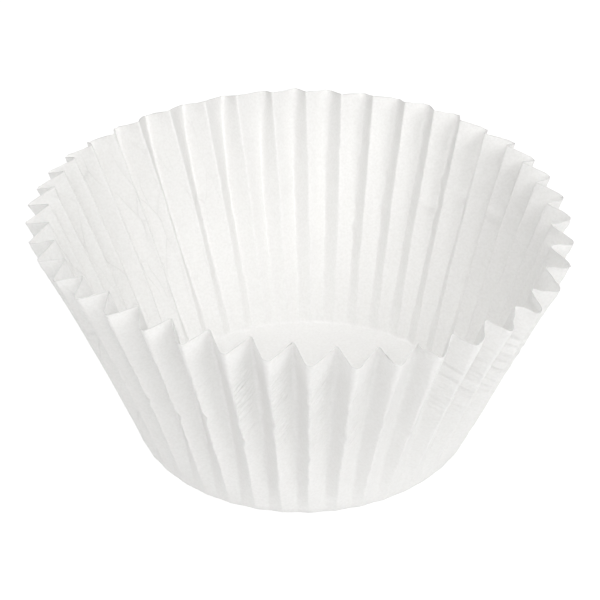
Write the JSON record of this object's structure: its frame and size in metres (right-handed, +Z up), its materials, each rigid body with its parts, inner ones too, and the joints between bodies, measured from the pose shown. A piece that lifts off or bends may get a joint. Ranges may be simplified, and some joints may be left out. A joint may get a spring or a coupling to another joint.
{
  "type": "cupcake liner",
  "caption": "Round fluted paper baking cup with a smooth flat base, a pleated wall that flares to a scalloped open rim, for holding cake batter in a muffin pan.",
  "frame": {"origin": "centre of the underside of the flat base", "axes": "+Z up along the cup's axis, through the open rim; +X points through the middle of an outer fold"},
  "size_m": [0.0802, 0.08, 0.0369],
  "materials": {
    "paper": "matte white greaseproof paper, slightly translucent"
  },
  "bodies": {
    "root": {"liner": "paper"}
  },
  "joints": []
}
